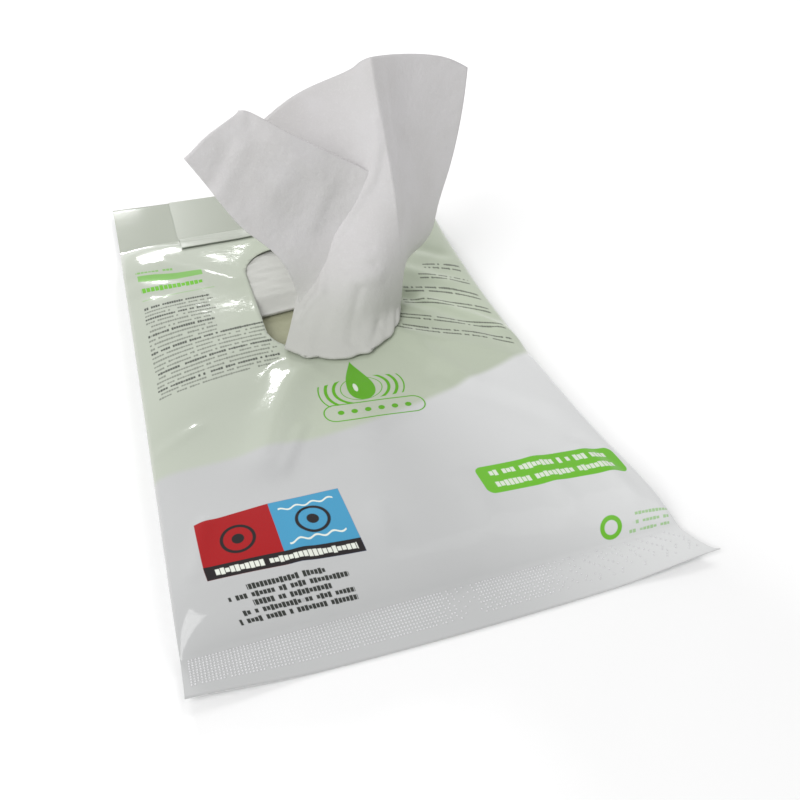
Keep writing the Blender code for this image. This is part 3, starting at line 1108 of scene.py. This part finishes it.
# cages in mm, from the top edge down, each row from the left hem to the right one
mainSheet = (
    ((-21.6, 30, 93.1), (-6.1, 28, 103.5), (11, 24, 110.7), (16.4, 21.5, 114.7), (19.6, 19, 117),
     (34.3, 30, 113.2), (55, 38, 107.8), (68.8, 42, 100.6)),
    ((-13, 28, 76.6), (-2.6, 23, 84.5), (9.6, 17, 91.6), (16.5, 14, 94.9), (21, 13, 98.9),
     (36.4, 27, 93), (53.2, 36, 87.2), (66.8, 41, 81.9)),
    ((-9.7, 22, 61.4), (-0.8, 16, 67.3), (9.6, 9, 73.4), (17.4, 6, 75.5), (22.9, 5, 78.6),
     (37.1, 22, 71.4), (49.9, 31, 65.2), (60.7, 37, 59.6)),
    ((-9.5, 14, 49.4), (-2.4, 6, 53.8), (9.2, -1, 57.4), (17.6, -2.5, 58), (24, -1.5, 58),
     (34.2, 14, 52.9), (43.8, 23, 47.2), (52.2, 29, 43.8)),
    ((-14.6, 4, 40.3), (-5.5, -4, 44.2), (6.3, -10, 46.5), (16.3, -9, 44.1), (24.4, -4, 39.6),
     (30.4, 6, 36.7), (35.1, 13, 33.8), (41.6, 21, 31.2)),
    ((-20.3, -5, 31.5), (-11.3, -12, 35.1), (2.5, -16.5, 35.6), (13.8, -14, 30.8), (23.6, -7, 25.4),
     (25.5, 2, 25.5), (23, 11, 23), (18, 19, 22)),
    ((-24.7, -13, 25.3), (-17.1, -19.5, 25.1), (-3, -23.5, 24.4), (11, -19.5, 23.2), (21, -11, 21.5),
     (23.4, -2, 21), (23.8, 9, 20.8), (21.5, 18, 20.4)),
    ((-28.5, -19, 19.6), (-21.5, -27.5, 19.6), (-6, -32.5, 19.6), (7, -28.5, 19.6), (17.2, -18.5, 19.5),
     (22.8, -7, 19.5), (24.4, 5, 19.4), (22.5, 15, 19.3)),
    ((-25, -11, 18.9), (-19, -17.5, 18.9), (-6, -19.5, 18.9), (5, -18, 18.9), (12, -13, 18.6),
     (15.5, -6, 18.3), (15, 4, 17.5), (13, 12, 17)),
    ((-22, -5, 15.1), (-17, -10, 15.1), (-6, -12.5, 15.1), (4, -12, 15.1), (9, -8, 15.1),
     (12, -3, 15.1), (12, 4, 15.1), (11, 11, 15.1)),
)
flapSheet = (
    ((-33.4, 4, 108.2), (-29.3, 3.4, 107.6), (-17.4, 3, 99.4), (-2.7, 5.5, 89.1),
     (8.2, 7.3, 81.6), (15, 7.2, 77.3), (20.3, 8.5, 73.8)),
    ((-39.4, 2, 105.6), (-32.2, 1, 98.4), (-20.7, 1, 88.8), (-8.2, 3, 78.9),
     (1.4, 4.8, 71.1), (8.9, 4.4, 65.4), (13.6, 3.8, 61.8)),
    ((-46.5, 0, 102.2), (-39.8, 0, 91.5), (-29.4, -0.5, 79.2), (-19, 0.5, 68.7),
     (-9.1, 2.5, 60.4), (-0.3, 2.7, 53.4), (4.5, 0.8, 50.4)),
    ((-51.3, -1, 98.8), (-44.5, -1, 87.2), (-34.9, -2, 73.4), (-25.3, -2.3, 61.7),
     (-16.1, -2.3, 52.6), (-7.9, -3.5, 43.5), (-3.3, -6.3, 40)),
    ((-55.4, -2, 96.1), (-48.1, -2, 83.1), (-39.2, -4, 68), (-30.4, -4.6, 58.2),
     (-23.5, -5, 47.3), (-20, -6.2, 33.6), (-20, -12.8, 25.7)),
)
mainFolds = (
    (((19.3, 12.5, 94.7), (19.6, 9.3, 86.2), (15.9, 6.4, 75.1), (8.5, 5, 64.9), (-0.3, 3, 53.4),
      (-6.7, -1.6, 44.6), (-10.4, -8.7, 38.1)), 1, 2),
    (((0.9, -4.1, 48.9), (11.3, -6.8, 51.4)), -0.5, 1.8),
    (((-0.9, -8.3, 44.6), (11.6, -10.3, 45.8)), -0.5, 1.8),
    (((0.9, -12.9, 41.1), (11.8, -12.4, 41)), 0.7, 3),
    (((3.6, -15.2, 38.3), (-0.8, -19.8, 28.6), (-4.3, -27.2, 22.2)), -0.7, 2),
    (((9.9, -19.7, 23.7), (3.3, -30.1, 20.3)), -0.6, 1.6),
    (((-10.5, -10, 37.2), (-15.8, -11, 32.5), (-21.7, -13.7, 26.5)), 0.9, 1.6),
    (((-8.1, -14.1, 35.1), (-15.5, -19.6, 25.6), (-20.2, -27.1, 20.5)), -0.5, 3),
    (((40.5, 31.6, 102.4), (33.2, 19.5, 78.2), (27.4, 3.8, 55.3)), -0.5, 6),
    (((26.9, 23.5, 109.7), (27.2, 17.8, 93), (28.5, 10, 69.8)), 0.3, 2),
)
flapFolds = (
    (((-35.6, 0.5, 95.7), (-40.6, -0.3, 88.7), (-45.4, -2.1, 80.8)), 0.7, 3.5),
    (((-38.5, 0.4, 96.3), (-43.4, -0.5, 89.5), (-48.1, -1.8, 84.4)), -0.5, 3.5),
    (((-17.5, 1.3, 85.3), (-29.5, -1, 74.1)), 0.35, 5),
    (((-14.3, 1.6, 76.1), (-21.5, -0.7, 63.9), (-27.2, -3.9, 57.6)), -0.3, 6),
    (((-2.5, 4.3, 75.3), (-11.3, 2, 61.2)), 0.6, 4),
    (((-23.7, 1.7, 97.6), (-13.6, 2.3, 88.6), (-5.7, 3.7, 80.9)), 0.5, 3),
    (((-29.3, 3.4, 107.6), (-30.5, 2.3, 104)), -0.5, 2.4),
)


def splineThrough(points, count):
    # a smooth curve through the points, for every column of them at once
    size = len(points)
    left = np.eye(size)
    right = np.zeros_like(points)
    for i in range(1, size - 1):
        left[i, i - 1:i + 2] = (1, 4, 1)
        right[i] = 6 * (points[i + 1] - 2 * points[i] + points[i - 1])
    curve = np.linalg.solve(left, right.reshape(size, -1)).reshape(points.shape)
    place = np.linspace(0, size - 1, count)
    first = np.minimum(place.astype(int), size - 2)
    part = (place - first).reshape((-1,) + (1,) * (points.ndim - 1))
    rest = 1 - part
    low, high = points[first], points[first + 1]
    return rest * low + part * high + (
        (rest**3 - rest) * curve[first] + (part**3 - part) * curve[first + 1]
    ) / 6


def sheetGrid(cage, crest=None):
    points = np.array(cage, dtype=float) * mm
    rows, columns = points.shape[:2]
    tall = splineThrough(points, (rows - 1) * drawn["rowSteps"] + 1)
    across = tall.transpose(1, 0, 2)
    if crest is None:
        wide = splineThrough(across, (columns - 1) * drawn["columnSteps"] + 1)
    else:
        first = splineThrough(across[:crest + 1], crest * drawn["columnSteps"] + 1)
        second = splineThrough(across[crest:], (columns - 1 - crest) * drawn["columnSteps"] + 1)
        wide = np.concatenate([first, second[1:]])
    return wide.transpose(1, 0, 2)


def sheetNormals(grid):
    normal = np.cross(np.gradient(grid, axis=0), np.gradient(grid, axis=1))
    return normal / np.maximum(np.linalg.norm(normal, axis=2, keepdims=True), 1e-12)


def foldSheet(grid, folds):
    # each fold: its points in mm, its height (a hollow if negative) and its width in mm
    total = np.zeros(grid.shape[:2])
    for line, height, width in folds:
        nearest = np.full(grid.shape[:2], np.inf)
        for a, b in zip(line, line[1:]):
            a, b = np.array(a) * mm, np.array(b) * mm
            share = np.clip(((grid - a) @ (b - a)) / ((b - a) @ (b - a)), 0, 1)
            nearest = np.minimum(nearest, np.linalg.norm(grid - a - share[..., None] * (b - a), axis=2))
        total += height * mm * np.exp(-(nearest / (width * mm)) ** 2)
    return grid + sheetNormals(grid) * total[..., None]


def gridMesh(name, grid, finish):
    faces = [(a, d, c, b) for a, b, c, d in gridFaces(*grid.shape[:2])]
    return meshObject(name, grid.reshape(-1, 3), faces, finish)


def makeTail(finish):
    x = np.linspace(tail["left"], tail["right"], tail["columns"])
    gx, share = np.meshgrid(x, np.linspace(0, 1, tail["rows"]))
    near = tail["near"] + tail["slant"] * (gx - tail["nearX"])
    gy = near + (tail["far"] - near) * share
    sx = (gx - tail["swellMiddle"][0]) / tail["swellHalf"][0]
    sy = (gy - tail["swellMiddle"][1]) / tail["swellHalf"][1]
    swell = np.exp(-sx**4 - sy**4) * smooth(gy - near, 0, tail["edgeRun"])
    ripples = sum(
        part * np.sin((gy + gx * slant) * turn + shift)
        for slant, turn, shift, part in tail["ripples"]
    )
    gz = tail["height"] + swell * (tail["swell"] + tail["ripple"] * ripples)
    return gridMesh("gloveTail", np.stack([gx, gy, gz], axis=2)[::-1], finish)


def pleatFoot(grid):
    # soft pleats that fan down to the foot's edge
    rows, columns = grid.shape[:2]
    row = np.arange(rows)[:, None] / drawn["rowSteps"]
    column = np.arange(columns)[None, :] / drawn["columnSteps"]
    deep = smooth(row, *pleats["comeIn"]) * (1 - smooth(row, *pleats["goOut"]))
    deep = deep * (1 - smooth(column, *pleats["endAcross"]))
    wave = sum(part * np.sin(column * turn + shift) for turn, shift, part in pleats["waves"])
    outward = grid[..., :2] - np.array(pleats["middle"])
    outward = outward / np.linalg.norm(outward, axis=2, keepdims=True)
    moved = grid.copy()
    depth = pleats["depth"]
    moved[..., :2] += outward * (deep * (depth + depth * wave))[..., None]
    return moved


def makeDrawnGlove(finish):
    front = pleatFoot(sheetGrid(mainSheet, drawn["crestColumn"]))
    sheet = gridMesh("drawnGlove", foldSheet(front, mainFolds), finish)
    flap = gridMesh("gloveFlap", foldSheet(sheetGrid(flapSheet), flapFolds), finish)
    hidden = makeTail(finish)
    shape = bmesh.new()
    for part in (sheet, flap, hidden):
        shape.from_mesh(part.data)
    mesh = bpy.data.meshes.new("drawnGlove")
    shape.to_mesh(mesh)
    shape.free()
    mesh.materials.append(finish)
    mesh.shade_smooth()
    sheet.data = mesh
    for part in (flap, hidden):
        bpy.data.objects.remove(part)
    addWall(sheet, drawn["wall"], 0)
    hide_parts("wash_glove_drawn")
    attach(sheet, "root")


floorSetup = {"half": 3, "drop": 0.0001, "shade": (0.9, 0.9, 0.9), "roughness": 0.9}


def makeFloor():
    half, z = floorSetup["half"], -floorSetup["drop"]
    points = [(-half, -half, z), (half, -half, z), (half, half, z), (-half, half, z)]
    finish, wire, shader = newFinish("paleFloor")
    setFinish(shader, {"Base Color": floorSetup["shade"], "Roughness": floorSetup["roughness"]})
    made = meshObject("floor", points, [(0, 1, 2, 3)], finish)


makeCamera()
makeLights()
makeFloor()
filmFinish = makeFilmFinish()
clothFinish = makeClothFinish("wetNonwoven")
oliveShadeFinish = makeClothFinish("nonwovenOliveShade", True)
labelFinish = makeLabelFinish()
makePouch(filmFinish)
makeCrimp(makeCrimpFinish())
print("pouch made")
makeLabel(labelFinish)
for index in range(glove["count"]):
    makeFlatGlove(index, clothFinish if index < glove["count"] - 1 else oliveShadeFinish)
makeDrawnGlove(clothFinish)
print("gloves made")
